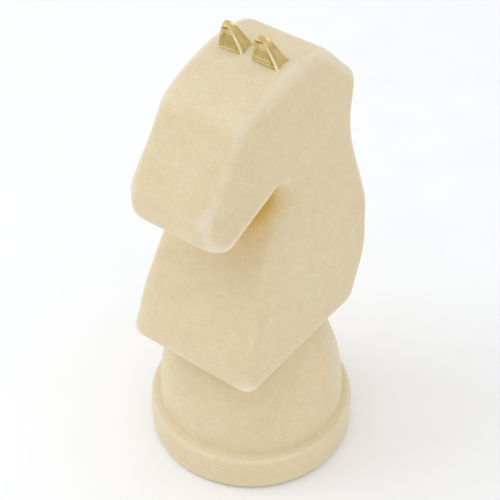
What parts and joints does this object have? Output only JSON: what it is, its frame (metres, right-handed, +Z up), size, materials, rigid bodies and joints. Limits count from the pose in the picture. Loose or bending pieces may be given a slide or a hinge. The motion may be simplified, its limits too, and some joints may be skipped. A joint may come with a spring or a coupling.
{
  "type": "giant chess piece",
  "caption": "Oversized chess knight: a stylised horse's head carved in cream stone with cast brass ears, standing on a turned stone pedestal with a stepped plinth.",
  "frame": {"origin": "middle of the rubber pad's lower face, where the piece stands, on the turning axis of the pedestal", "axes": "+Z up; the horse's muzzle points along -Y, so its left side is +X"},
  "size_m": [0.13, 0.1402, 0.2974],
  "materials": {
    "stone": "honed fine-grained cream marble, slightly translucent at its edges",
    "brass": "pale cast brass, hand polished",
    "steel": "stainless steel bar and fasteners, as bought",
    "resin": "stone bonding resin, tinted to match, matte",
    "rubber": "black rubber sheet, matte"
  },
  "bodies": {
    "root": {"knight_head": "stone", "pedestal": "stone", "ear_left": "brass", "ear_right": "brass", "ear_stud_left": "steel", "ear_stud_right": "steel", "tie_rod": "steel", "head_anchor": "steel", "clamp_washer": "steel", "spring_washer": "steel", "clamp_nut": "steel", "dowel_front": "steel", "dowel_back": "steel", "joint_bed": "resin", "anchor_resin": "resin", "ear_resin_left": "resin", "ear_resin_right": "resin", "base_pad": "rubber"}
  },
  "joints": []
}
